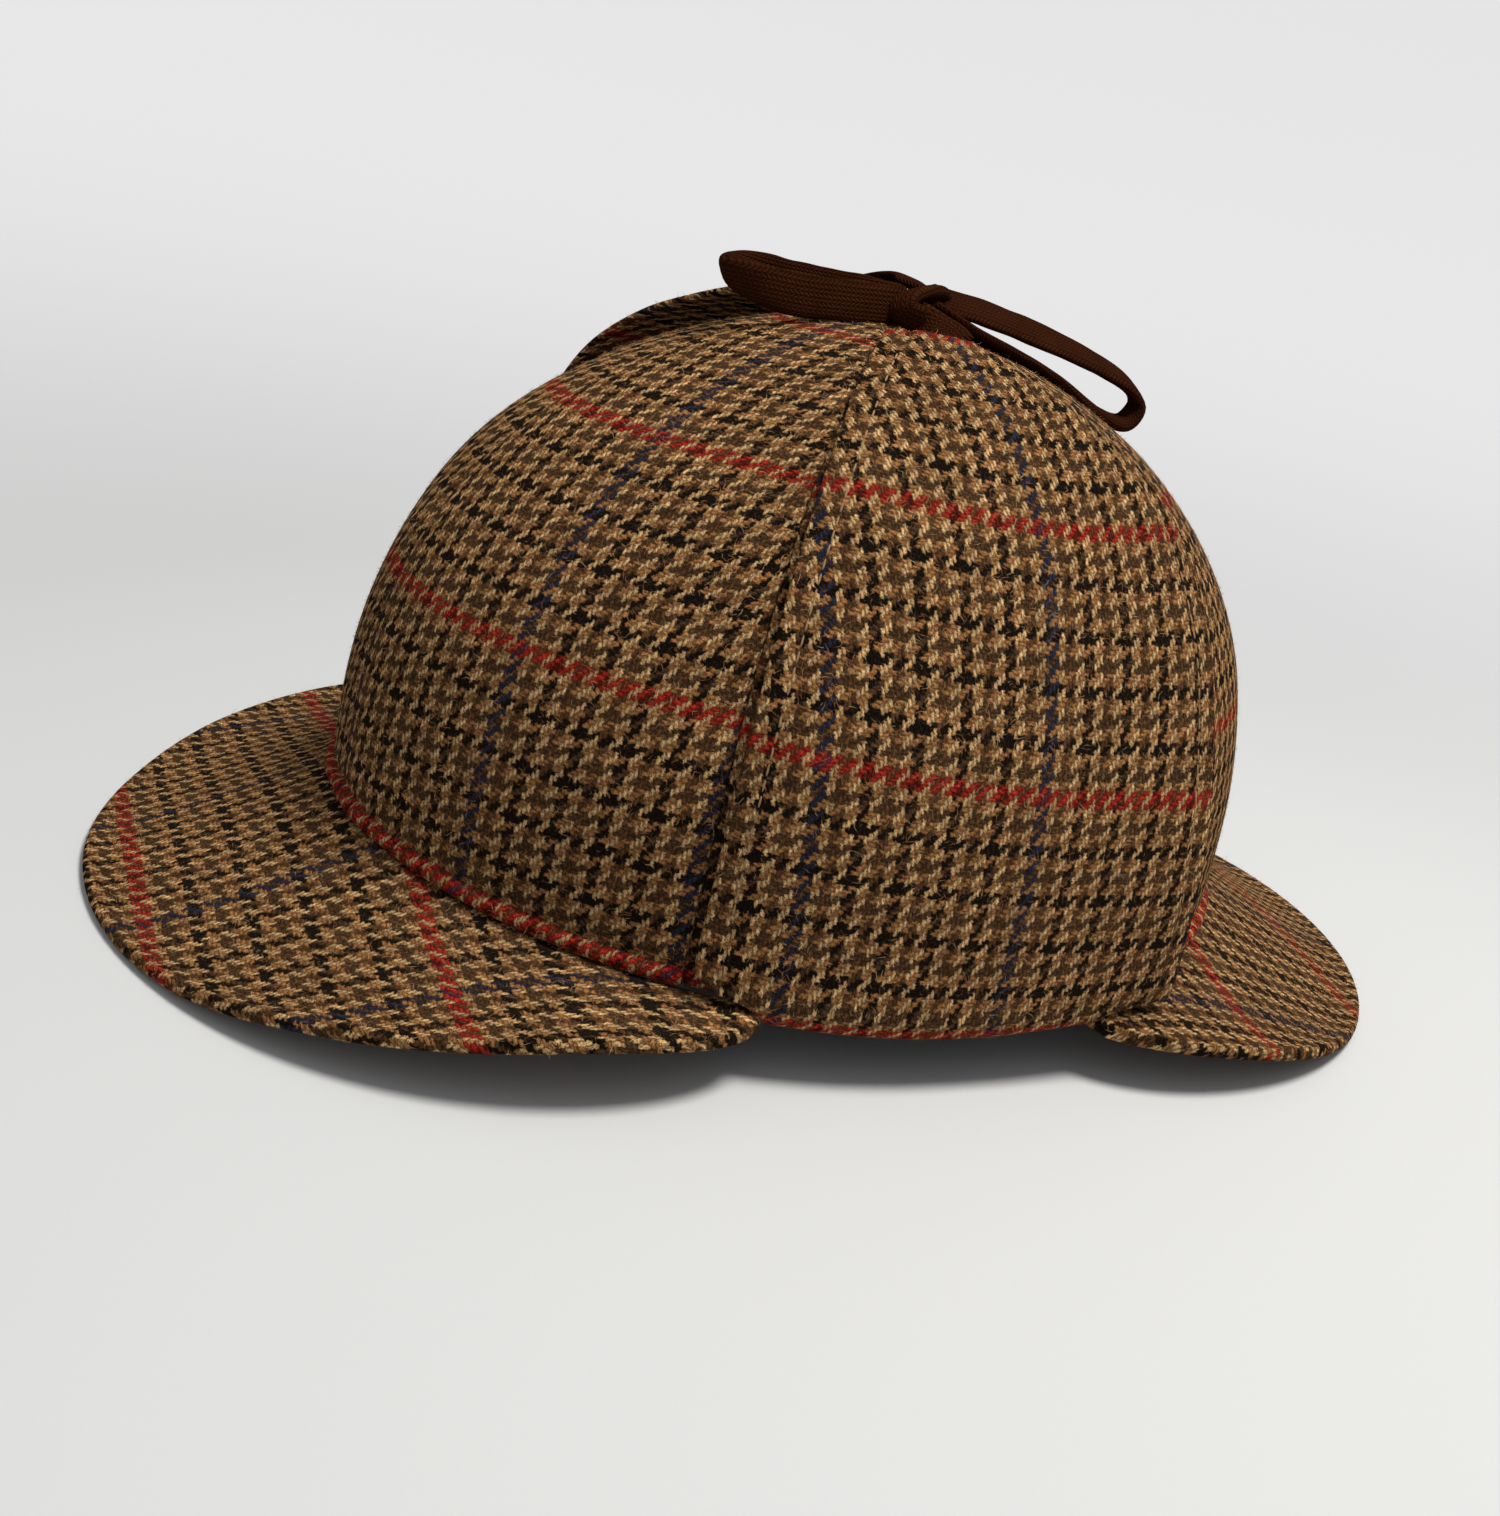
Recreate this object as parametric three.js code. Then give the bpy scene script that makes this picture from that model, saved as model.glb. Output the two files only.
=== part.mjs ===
// Deerstalker hat: a six-gore tweed crown, two peaks, and two ear flaps tied up with a tape bow.
// Millimetres, +Z up, the floor at Z = 0, the hat's front towards -Y and its left towards +X.
import * as THREE from "three";

const DEG = Math.PI / 180;

// Clearance kept between neighbouring pieces
const GAP = 0.3;

// The dome: an ellipse at the rim, closing to a rounded top
const CROWN = {
  halfLength: 104,
  halfWidth: 86.6,
  height: 121.8, // rim to top, at the sides
  rimHeight: 14, // rim above the floor, at the sides
  rimRise: 8.5, // how much higher the rim is at front and back
  topShift: 1.8, // top of the dome behind the middle
  heightPower: 2.8,
  widthPower: 1.75,
  wall: 2,
};

// The six gores, named by the stretch of rim that each one takes, degrees round from the front
const GORE_ANGLE = 60;
const GORE_COLUMNS = 9;
const SEAM_DIP = 0.9;
const SEAM_SHARPNESS = 8;
const GORE_NAMES = ["front_left", "side_left", "back_left", "back_right", "side_right", "front_right"];

// Rows of a gore: height above the rim, and how far the turned hem swells there
const GORE_ROWS = [
  { height: 0, swell: 0.2 },
  { height: 1.8, swell: 0.45 },
  { height: 3.6, swell: 0.2 },
  { height: 4.6, swell: 0 },
  { height: 18, swell: 0 },
  { height: 36, swell: 0 },
  { height: 54, swell: 0 },
  { height: 71, swell: 0 },
  { height: 86, swell: 0 },
  { height: 98, swell: 0 },
  { height: 107, swell: 0 },
  { height: 114, swell: 0 },
  { height: 119, swell: 0 },
  { height: 121.1, swell: 0 },
  { height: 121.78, swell: 0 },
];

// Peaks: stiff crescents whose outer edge is pressed flat on the floor where it rests
const PEAK_THICKNESS = 3;
const PEAK_COLUMNS = 44;
const PEAK_END_WIDTH = 1.5;
const PEAK_END_DROP = 1.5;
const PEAKS = [
  { name: "peak_front", middle: 0, width: 48.5, end: 69, restEnd: 0.28, fullness: 2.3, corner: 1.35 },
  { name: "peak_back", middle: 180, width: 48.5, end: 71, restEnd: 0.34, fullness: 1.9, corner: 1.7 },
];

// Rows across a peak, from its rounded edge in to the margin under the crown's wall;
// fall is the share of the way down from the rim to the edge
const PEAK_ROWS = [
  { across: 1, inset: 0, fall: 1, thin: 0.8 },
  { across: 1, inset: 1.2, fall: 1, thin: 0 },
  { across: 0.9, inset: 0, fall: 1, thin: 0 },
  { across: 0.66, inset: 0, fall: 0.76, thin: 0 },
  { across: 0.4, inset: 0, fall: 0.5, thin: 0 },
  { across: 0.16, inset: 0, fall: 0.22, thin: 0 },
  { across: 0, inset: 0, fall: 0, thin: 0 },
  { across: 0, inset: 1.9, fall: 0, thin: 0 },
];

// Ear flaps: sewn inside the rim, folded under it and up over the crown to the top
const FLAP_COLUMNS = 12;
const FLAP_LIFT_FADE = 1.5;
const FLAPS = [
  { name: "ear_flap_left", side: 1, standOff: 0.12 },
  { name: "ear_flap_right", side: -1, standOff: 1 },
];

// Rows of a flap, from the sewn edge to the tip: distance off the crown and height above the rim
// of its inner and outer face, the angles of its front and back edge, and the lift of a loose edge
const FLAP_ROWS = [
  { inOff: -1.7, inHeight: -0.4, outOff: -1.7, outHeight: -2.9, front: 72.5, back: 106, lift: 0 },
  { inOff: 0.4, inHeight: -0.4, outOff: 1, outHeight: -3.3, front: 72, back: 106.5, lift: 0 },
  { inOff: 0.9, inHeight: 1.2, outOff: 3.1, outHeight: -1.9, front: 71, back: 107.5, lift: 0 },
  { inOff: 1, inHeight: 2, outOff: 3.5, outHeight: 0.2, front: 67.5, back: 113.5, lift: 0 },
  { inOff: 1, inHeight: 3.2, outOff: 3.6, outHeight: 1.6, front: 63.5, back: 120, lift: 0 },
  { inOff: 0.9, inHeight: 6.5, outOff: 3.5, outHeight: 5.5, front: 61, back: 126.5, lift: 0 },
  { inOff: 0.7, inHeight: 18, outOff: 3.3, outHeight: 18, front: 61, back: 129, lift: 2 },
  { inOff: 0.7, inHeight: 36, outOff: 3.3, outHeight: 36, front: 61, back: 127.2, lift: 5.8 },
  { inOff: 0.7, inHeight: 54, outOff: 3.3, outHeight: 54, front: 61, back: 125.6, lift: 9.2 },
  { inOff: 0.7, inHeight: 71, outOff: 3.3, outHeight: 71, front: 61, back: 125, lift: 10.8 },
  { inOff: 0.7, inHeight: 86, outOff: 3.3, outHeight: 86, front: 61, back: 125.5, lift: 10.6 },
  { inOff: 0.7, inHeight: 98, outOff: 3.3, outHeight: 98, front: 61, back: 126.5, lift: 9 },
  { inOff: 0.7, inHeight: 107, outOff: 3.3, outHeight: 107, front: 61, back: 127.5, lift: 7.2 },
  { inOff: 0.7, inHeight: 114, outOff: 3.3, outHeight: 114, front: 61, back: 128, lift: 5.6 },
  { inOff: 0.7, inHeight: 119, outOff: 3.3, outHeight: 119, front: 62, back: 127.5, lift: 4.8 },
];

// Tape of the bow
const TAPE_WIDTH = 8.5;
const TAPE_THICKNESS = 1.2;
const TAPE_STEP = 3;

// The knot: a barrel that lies along Y on the top of the crown
const KNOT = { x: 1, y: 7.5, bottom: 136.2, width: 14, length: 11, height: 8.2, sides: 20, bevel: 1.4 };

// Routes of the tapes, in the order that each is laid, with the direction of the tape's width
const TAPES = [
  {
    name: "bow_loop_front",
    across: [0, 0, 1],
    route: [
      { x: 2.6, y: 1.7, z: 140.5 },
      { x: 5, y: -8, z: 140.8 },
      { x: 5.5, y: -20, z: 140.7 },
      { x: 3.5, y: -33, z: 139.8 },
      { x: -1.5, y: -39, z: 139.3 },
      { x: -6.5, y: -35, z: 139.6 },
      { x: -8, y: -22, z: 140.4 },
      { x: -5.5, y: -8, z: 140.8 },
      { x: -1.2, y: 1.7, z: 140.5 },
    ],
  },
  {
    name: "bow_loop_back",
    across: [1, 0, 0.12],
    route: [
      { x: 2, y: 13.3, z: 141.6 },
      { x: 2, y: 27, z: 140.8 },
      { x: 2, y: 42, z: 136.9 },
      { x: 2.5, y: 57, z: 131.6 },
      { x: 3, y: 66.5, z: 125.8 },
      { x: 3.5, y: 64.5, z: 120.5 },
      { x: 4, y: 55, z: 122.6 },
      { x: 4, y: 42, z: 128.6 },
      { x: 4, y: 28, z: 133.3 },
      { x: 3, y: 13.3, z: 137.2 },
    ],
  },
  {
    name: "ribbon_left",
    across: [0, 1, 0],
    route: [
      { x: 16.7, y: 6.6, z: 136.6 },
      { x: 13.2, y: 6.8, z: 138.7 },
      { x: 8.4, y: 7, z: 140 },
    ],
  },
  {
    name: "ribbon_right",
    across: [0, 1, -0.2],
    route: [
      { x: -17.2, y: 6.6, z: 138 },
      { x: -12.4, y: 6.8, z: 139.6 },
      { x: -6.4, y: 7, z: 140 },
    ],
  },
  {
    name: "ribbon_tail_left",
    across: [0, 1, -0.2],
    route: [
      { x: -6.4, y: 8, z: 142.6 },
      { x: -13, y: 8.4, z: 143.2 },
      { angle: -96, height: 116, off: 8.8 },
      { angle: -97, height: 109, off: 8.8 },
      { angle: -98, height: 100, off: 8.4 },
    ],
  },
  {
    name: "ribbon_tail_right",
    across: [1, 0.35, 0],
    route: [
      { x: -6.4, y: 14, z: 137.6 },
      { angle: -160, height: 118, off: 1.4 },
      { angle: -160, height: 111, off: 1.5 },
      { angle: -160, height: 102, off: 1.5 },
      { angle: -160, height: 92, off: 1.5 },
    ],
  },
];

const tweed = new THREE.MeshStandardMaterial({ color: 0x70563a, roughness: 0.95, metalness: 0 });
const peakTweed = new THREE.MeshStandardMaterial({ color: 0x6a5236, roughness: 0.95, metalness: 0 });
const tapeCloth = new THREE.MeshStandardMaterial({ color: 0x3c2214, roughness: 0.85, metalness: 0 });

const hat = new THREE.Group();

function smooth(from, to, value) {
  const t = Math.min(1, Math.max(0, (value - from) / (to - from)));
  return t * t * (3 - 2 * t);
}

// Height of the rim above the floor, round from the front by angle
function rimZ(angle) {
  return CROWN.rimHeight + CROWN.rimRise * Math.cos(angle) ** 2;
}

// Point of the smooth dome: climb runs from 0 at the rim to a quarter turn at the top
function domePoint(angle, climb) {
  const rise = Math.sin(climb) ** (2 / CROWN.heightPower);
  const spread = Math.cos(climb) ** (2 / CROWN.widthPower);
  const base = rimZ(angle) - CROWN.rimHeight;
  return new THREE.Vector3(
    CROWN.halfWidth * spread * Math.sin(angle),
    -CROWN.halfLength * spread * Math.cos(angle) + rise * CROWN.topShift,
    CROWN.rimHeight + base * (1 - rise) + rise * CROWN.height,
  );
}

function climbAt(height) {
  return Math.asin((Math.max(0, height) / CROWN.height) ** (CROWN.heightPower / 2));
}

// Point at a height above the rim and a distance off the dome; below the rim it goes straight down
function crownPoint(angle, height, off) {
  const step = 1e-3;
  const climb = climbAt(height);
  const point = domePoint(angle, climb);
  const around = domePoint(angle + step, climb).sub(point);
  const up = domePoint(angle, climb + step).sub(point);
  const normal = around.cross(up).normalize();
  point.addScaledVector(normal, off);
  point.z += Math.min(0, height);
  return point;
}

// Closed solid between two grids of points, outer over inner, with walls round their border
function slab(outer, inner) {
  const columns = outer[0].length;
  const points = [...outer.flat(), ...inner.flat()];
  const innerStart = outer.length * columns;
  const at = (row, column) => row * columns + column;
  const index = [];
  const quad = (a, b, c, d) => index.push(a, b, c, a, c, d);
  for (let row = 0; row + 1 < outer.length; row++) {
    for (let column = 0; column + 1 < columns; column++) {
      const corners = [at(row, column), at(row, column + 1), at(row + 1, column + 1), at(row + 1, column)];
      quad(...corners);
      quad(...corners.reverse().map((corner) => corner + innerStart));
    }
  }
  const lastRow = outer.length - 1;
  const lastColumn = columns - 1;
  const wall = (a, b) => quad(b, a, a + innerStart, b + innerStart);
  for (let column = 0; column < lastColumn; column++) {
    wall(at(0, column), at(0, column + 1));
    wall(at(lastRow, column + 1), at(lastRow, column));
  }
  for (let row = 0; row < lastRow; row++) {
    wall(at(row + 1, 0), at(row, 0));
    wall(at(row, lastColumn), at(row + 1, lastColumn));
  }
  return meshGeometry(points, index);
}

function meshGeometry(points, index) {
  const geometry = new THREE.BufferGeometry().setFromPoints(points);
  geometry.setIndex(index);
  geometry.computeVertexNormals();
  return geometry;
}

function addPiece(name, geometry, material) {
  const mesh = new THREE.Mesh(geometry, material);
  mesh.name = name;
  hat.add(mesh);
}

// One gore of the crown, pinched in at both seams
function gore(startDegrees) {
  const face = (off) => GORE_ROWS.map(({ height, swell }) => {
    const row = [];
    for (let column = 0; column <= GORE_COLUMNS; column++) {
      const share = column / GORE_COLUMNS;
      const middle = domePoint((startDegrees + share * GORE_ANGLE) * DEG, climbAt(height));
      const radius = Math.hypot(middle.x, middle.y - CROWN.topShift);
      const margin = GAP / 2 / radius / DEG;
      const angle = startDegrees + margin + share * (GORE_ANGLE - 2 * margin);
      const dip = SEAM_DIP * Math.abs(2 * share - 1) ** SEAM_SHARPNESS;
      row.push(crownPoint(angle * DEG, height, off + swell - dip));
    }
    return row;
  });
  return slab(face(0), face(-CROWN.wall));
}

// One peak, laid from its outer edge in to the crown's wall
function peak({ middle, width, end, restEnd, fullness, corner }) {
  const top = [];
  const bottom = [];
  for (const { across, inset, fall, thin } of PEAK_ROWS) {
    const topRow = [];
    const bottomRow = [];
    for (let column = 0; column <= PEAK_COLUMNS; column++) {
      const share = 2 * column / PEAK_COLUMNS - 1;
      const away = Math.abs(share);
      const angle = (middle + share * end) * DEG;
      const span = PEAK_END_WIDTH + (width - PEAK_END_WIDTH) * (1 - away ** fullness) ** (1 / corner);
      const trim = across > 0 ? Math.min(inset, span / 3) : inset;
      const rim = crownPoint(angle, 0, across * span - trim);
      const rootZ = rimZ(angle) - GAP;
      const lift = smooth(restEnd, 1, away);
      const edgeZ = PEAK_THICKNESS + (rootZ - PEAK_END_DROP - PEAK_THICKNESS) * lift;
      const z = rootZ + (edgeZ - rootZ) * fall;
      topRow.push(new THREE.Vector3(rim.x, rim.y, z - thin));
      bottomRow.push(new THREE.Vector3(rim.x, rim.y, z - PEAK_THICKNESS + thin));
    }
    top.push(topRow);
    bottom.push(bottomRow);
  }
  return slab(top, bottom);
}

// One ear flap; the lift opens its front edge from the crown and fades out towards its back edge
function earFlap({ side, standOff }) {
  const face = (offKey, heightKey) => FLAP_ROWS.map((row) => {
    const points = [];
    for (let column = 0; column <= FLAP_COLUMNS; column++) {
      const share = column / FLAP_COLUMNS;
      const angle = (row.front + share * (row.back - row.front)) * DEG;
      const lift = row.lift * standOff * (1 - share) ** FLAP_LIFT_FADE;
      const point = crownPoint(angle, row[heightKey], row[offKey] + lift);
      point.x *= side;
      points.push(point);
    }
    return side > 0 ? points : points.reverse();
  });
  return slab(face("outOff", "outHeight"), face("inOff", "inHeight"));
}

// A point of a tape's route, given in space or as a place on the crown
function station({ x, y, z, angle, height, off }) {
  return angle === undefined ? new THREE.Vector3(x, y, z) : crownPoint(angle * DEG, height, off);
}

// A flat tape swept along its route, with square ends
function tape({ route, across }) {
  const stations = route.map(station);
  const curve = new THREE.CatmullRomCurve3(stations, false, "centripetal");
  const steps = Math.round(curve.getLength() / TAPE_STEP);
  const outer = [];
  const inner = [];
  for (let step = 0; step <= steps; step++) {
    const centre = curve.getPointAt(step / steps);
    const along = curve.getTangentAt(step / steps);
    const wide = new THREE.Vector3(...across);
    wide.addScaledVector(along, -wide.dot(along)).setLength(TAPE_WIDTH / 2);
    const thick = wide.clone().cross(along).setLength(TAPE_THICKNESS / 2);
    const edge = (sideways, up) => centre.clone().addScaledVector(wide, sideways).addScaledVector(thick, up);
    outer.push([edge(-1, 1), edge(1, 1)]);
    inner.push([edge(-1, -1), edge(1, -1)]);
  }
  return slab(outer, inner);
}

// The knot, a bevelled barrel squashed to its width and height
function knot() {
  const radius = KNOT.height / 2;
  const reach = KNOT.length / 2;
  const profile = [
    new THREE.Vector2(0, -reach),
    new THREE.Vector2(radius - KNOT.bevel, -reach),
    new THREE.Vector2(radius, -reach + KNOT.bevel),
    new THREE.Vector2(radius, reach - KNOT.bevel),
    new THREE.Vector2(radius - KNOT.bevel, reach),
    new THREE.Vector2(0, reach),
  ];
  const geometry = new THREE.LatheGeometry(profile, KNOT.sides);
  geometry.scale(KNOT.width / KNOT.height, 1, 1);
  geometry.translate(KNOT.x, KNOT.y, KNOT.bottom + radius);
  return geometry;
}

GORE_NAMES.forEach((name, number) => addPiece(`crown_panel_${name}`, gore(number * GORE_ANGLE), tweed));
PEAKS.forEach((row) => addPiece(row.name, peak(row), peakTweed));
FLAPS.forEach((row) => addPiece(row.name, earFlap(row), tweed));
TAPES.forEach((row) => addPiece(row.name, tape(row), tapeCloth));
addPiece("bow_knot", knot(), tapeCloth);

export default hat;
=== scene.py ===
"""Deerstalker hat: the tweed crown, peaks, ear flaps and tape bow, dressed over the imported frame."""
import math

import bpy
import numpy as np
from mathutils import Matrix, Vector, noise


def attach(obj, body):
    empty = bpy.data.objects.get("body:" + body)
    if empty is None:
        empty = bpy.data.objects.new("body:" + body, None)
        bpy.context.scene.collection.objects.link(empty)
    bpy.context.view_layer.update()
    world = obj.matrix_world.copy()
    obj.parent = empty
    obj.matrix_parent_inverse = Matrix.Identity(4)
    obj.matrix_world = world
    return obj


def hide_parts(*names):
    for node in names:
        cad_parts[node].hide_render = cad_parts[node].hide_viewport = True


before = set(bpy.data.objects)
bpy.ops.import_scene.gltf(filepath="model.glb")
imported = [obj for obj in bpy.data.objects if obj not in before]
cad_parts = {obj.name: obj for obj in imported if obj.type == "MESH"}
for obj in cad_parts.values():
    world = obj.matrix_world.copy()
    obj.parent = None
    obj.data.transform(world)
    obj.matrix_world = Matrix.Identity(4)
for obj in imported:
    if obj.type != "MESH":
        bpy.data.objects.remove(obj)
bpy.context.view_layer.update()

# Lengths are in millimetres, as in the part's source, and become metres when a mesh is made
MM = 0.001

# A cloth narrower than this many of its edge bands has them squeezed
EDGE_BANDS = 2.6

# The dome
HALF_LENGTH = 104.0
HALF_WIDTH = 86.6
CROWN_HEIGHT = 121.8
RIM_HEIGHT = 14.0
RIM_RISE = 8.5
TOP_SHIFT = 1.8
HEIGHT_POWER = 2.8
WIDTH_POWER = 1.75

# The camera of the photograph, whose frame is 1500 by 1516 pixels
PHOTO_HEIGHT_PX = 1516
FOCAL_PX = 1803.0
SENSOR_MM = 36.0
CAMERA_AT = (351.0, -182.4, 168.3)
CAMERA_RIGHT = (0.37105, 0.90872, 0.19118)
CAMERA_UP = (-0.37502, -0.04170, 0.92608)
CAMERA_BACK = (0.84952, -0.41531, 0.32532)
CAMERA_CLIP_M = 0.01

# The cloth: a gun-club check in 2/2 twill, twelve threads to a repeat, with two overchecks
WARP_REPEAT = 9.1
WEFT_REPEAT = 9.8
REPEAT_THREADS = 12
STRIPE_THREADS = 3
TWILL_STEPS = 4
TWILL_FLOAT = 2
OVERCHECK_REPEATS = 5
OVERCHECK_THREADS = 4
RED_SPREAD = 0.22
BLUE_SPACING = WARP_REPEAT * OVERCHECK_REPEATS
RED_SPACING = WEFT_REPEAT * OVERCHECK_REPEATS

# The yarn: unevenness in threads, noise scales per millimetre; each LIGHT pair, and the floats' painted
# shading, is a gain and an offset
THREAD_LIGHT = (0.35, 0.82)
WANDER = 1.3
WANDER_SCALE = 0.3
RAGGED = 1.9
RAGGED_SCALE = 2.3
FLOAT_ROUNDNESS = 0.6
FLOAT_SINK = 0.45
# Painted shade and highlight of a float: lighter on its crest, darker at its sides and sunk ends
FLOAT_PAINTED_SHADING = (1.1, 0.17)
FIBRE_TWIST = 0.45
FIBRES_ACROSS = 8.0
FIBRES_ALONG = 1.6
GRAIN_LIGHT = (3.8, -0.95)
GRAIN_RELIEF = 0.7
PATCH_SCALE = 0.12
PATCH_LIGHT = (0.9, 0.55)
HAZE_SCALE = 2.6
HAZE_FROM = 0.6
HAZE_GAIN = 3.2
HAZE_MOST = 0.55
SECOND_NOISE_AT = (37.0, 5.0)
SHEEN_ROUGHNESS = 0.5

# The tapes' flat braid
RIB_WIDTH = 0.9
STRAND_SLANT = 1.1
STRANDS_PER_MM = 0.95
STRAND_ROUNDNESS = 0.6
RIB_GAIN = 2.2
# Painted shade and highlight of the braid, as a gain and an offset
BRAID_PAINTED_SHADING = (0.75, 0.4)
BRAID_FUZZ_SCALE = 3.0
BRAID_FUZZ_LIGHT = (1.6, 0.2)
BRAID_FUZZ_RELIEF = 0.5
BRAID_PATCH_SCALE = 0.1

# Linear colours
BLACK_WOOL = (0.009, 0.0062, 0.005)
WARP_TAN = (0.8, 0.5, 0.228)
WARP_BROWN = (0.125, 0.06, 0.026)
WEFT_TAN = (0.44, 0.203, 0.074)
WEFT_BROWN = (0.1, 0.052, 0.025)
RED_WOOL = (0.5, 0.028, 0.018)
NAVY_WOOL = (0.026, 0.03, 0.06)
PALE_WOOL = (0.55, 0.38, 0.20)
TAPE_BROWN = (0.037, 0.0108, 0.0041)
STITCH_TAN = (0.42, 0.27, 0.13)
FLOOR_WHITE = (0.53, 0.55, 0.57)
SHEEN_TAN = (0.9, 0.72, 0.5)

# The stage, in metres and watts: the floor fades out between two distances from the hat
FLOOR_RADIUS = 14
FLOOR_SIDES = 96
FLOOR_FADE = (0.25, 3.0)
FLOOR_ROUGHNESS = 0.9
FLOOR_SPECK_SCALE = 900.0
FLOOR_SPECK_LIGHT = (0.02, 0.99)
WORLD_STOPS = [
    {"height": 0.0, "light": 0.80},
    {"height": 0.15, "light": 0.78},
    {"height": 0.25, "light": 0.18},
    {"height": 0.8, "light": 0.48},
]
LIGHTS = [
    {"name": "key", "at": (0.22, 0.2, 0.94), "target": (0, 0, 0.08), "size": 0.35, "power": 11.0,
     "colour": (1.0, 0.95, 0.88)},
    {"name": "fill", "at": (0.75, -0.5, 0.45), "target": (0, 0, 0.06), "size": 0.6, "power": 0.35,
     "colour": (1.0, 0.97, 0.93)},
]

# Gores: their wall, their seams and their mesh
GORE_ANGLE = 60.0
GORE_WALL = 2.0
SEAM_DIP = 0.65
SEAM_SHARPNESS = 8
TOP_CLIMB = math.radians(88.8)
GORE_ARC = 1.05
GORE_RIPPLE = {"size": 26, "depth": 0.5}
GORE_EDGE = (0.0, 0.12, 0.4, 0.8, 1.3, 2.2, 3.6)
GORE_COLUMNS = 40
GORE_LOW_HEIGHTS = [
    0, 0.12, 0.35, 0.65, 1.0, 1.35, 1.7, 2.05, 2.4, 2.75, 3.05, 3.25, 3.45, 3.9, 4.6, 5.6, 7]
GORE_CLIMB_FROM = 9.5
GORE_CLIMB_ROWS = 64

# The rolled hem at the rim, and the crease above it
BEAD_HEIGHT = 3.3
BEAD_SWELL = 2.3
BEAD_CREASE = 0.7
BEAD_CREASE_HEIGHT = 2.5
BEAD_DROOP = 0.5
BEAD_FADE = 1
BEAD_MIDDLE = 1.7
BEAD_TOP = 3.45
BEAD_STRETCH = 0.7

# The gores in turn round the crown from the front, with the hem's free stretch and the navy thread's place
GORES = [
    {"name": "front_left", "start": 0, "bead_from": 0, "bead_to": 60.5, "blue_at": 0.5},
    {"name": "side_left", "start": 60, "bead_from": 0, "bead_to": 0, "blue_at": 9},
    {"name": "back_left", "start": 120, "bead_from": 130, "bead_to": 180, "blue_at": -6},
    {"name": "back_right", "start": 180, "bead_from": 180, "bead_to": 230, "blue_at": 14},
    {"name": "side_right", "start": 240, "bead_from": 0, "bead_to": 0, "blue_at": -3},
    {"name": "front_right", "start": 300, "bead_from": 299.5, "bead_to": 360, "blue_at": 5},
]

# Peaks: their shape, from the root at the rim to the edge
PEAK_THICKNESS = 3.0
PEAK_WIDTH = 48.5
PEAK_END_WIDTH = 1.5
PEAK_END_DROP = 1.5
PEAK_ROOT = 1.9
PEAK_ROOT_DROP = 0.3
PEAK_FALL_WIDTH = 0.92
PEAK_FALL_POWER = 1.25
PEAK_CURL_STARTS = (0.15, 0.5)
PEAK_CURL_ENDS = (0.75, 1.0)
PEAK_RIPPLE = {"size": 30, "depth": 0.9}
PEAK_RIPPLE_HEIGHT = 40
PEAK_STEADY_EDGE = 0.4

# The peaks' overchecks and mesh
PEAK_BLUE_SPACING = 47.0
PEAK_RED_SPACING = 48.0
PEAK_EASE_FROM = 78.0
PEAK_COLUMNS = 130
PEAK_EDGE_ACROSS = [1.0, 0.998, 0.993, 0.985, 0.975, 0.96]
PEAK_INNER_ACROSS = 0.93
PEAK_INNER_ROWS = 26
PEAK_OUTWARD_ROW = 3

# Both peaks, with the angle and rise of their ends and the places of their overchecks
PEAKS = [
    {"name": "front", "middle": 0, "end": 69, "rest_end": 0.28, "fullness": 2.3, "corner": 1.35,
     "blue_x": 24.6, "red_y": -95.0, "end_ease": 0.35, "curl": 3.2},
    {"name": "back", "middle": 180, "end": 71, "rest_end": 0.43, "fullness": 1.9, "corner": 1.7,
     "blue_x": 79.0, "red_y": 76.0, "end_ease": 0.0, "curl": 0.0},
]

# Ear flaps: how they lie on the crown
FLAP_THICKNESS = 2.6
FLAP_TOP = 119.4
FLAP_ARC = 1.08
FLAP_LIFT_FADE = 1.5
FLAP_FLARE_FROM = 0.55
FLAP_RIPPLE = {"size": 22, "depth": 0.55}
FLAP_RIPPLE_ROWS = (5.0, 8.0)
FLAP_EDGE_HUG = 1.1
FLAP_EDGE_WIDTH = 8.0
FLAP_EDGE_THIN = 0.4
FLAP_EDGE_ROWS = (4.0, 6.0)

# How the flaps' weave lies: plumb at one angle, a little tilted, and taken up at the fold and near the tip
FLAP_MIDDLE = 94.0
FLAP_GRAIN_TILT = 0.055
FLAP_GRAIN_RISE = 30.0
FLAP_FOLD_ROW = 1.5
FLAP_FOLD_EASE = 4.0
FLAP_FOLD_EASED = (-1.0, 13.0)
FLAP_TOP_EASE = 0.065

# The flaps' stitched border and mesh
FLAP_STITCH_IN = 5.4
FLAP_STITCH_COLUMN = 8
FLAP_STITCH_ROW = 6
FLAP_GROOVE_DEPTH = 0.45
FLAP_GROOVE_WIDTH = 0.8
FLAP_EDGE = (0.0, 0.15, 0.5, 1.0, 1.6, 2.8, 4.0, 4.7, 5.4, 6.1, 6.9)
FLAP_COLUMNS = 52
FLAP_STEPS = 8
FLAP_TIP_STARTS = 0.6
FLAP_TIP_STEPS = (0.5, 0.35, 0.22, 0.13, 0.06, 0.0)

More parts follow.
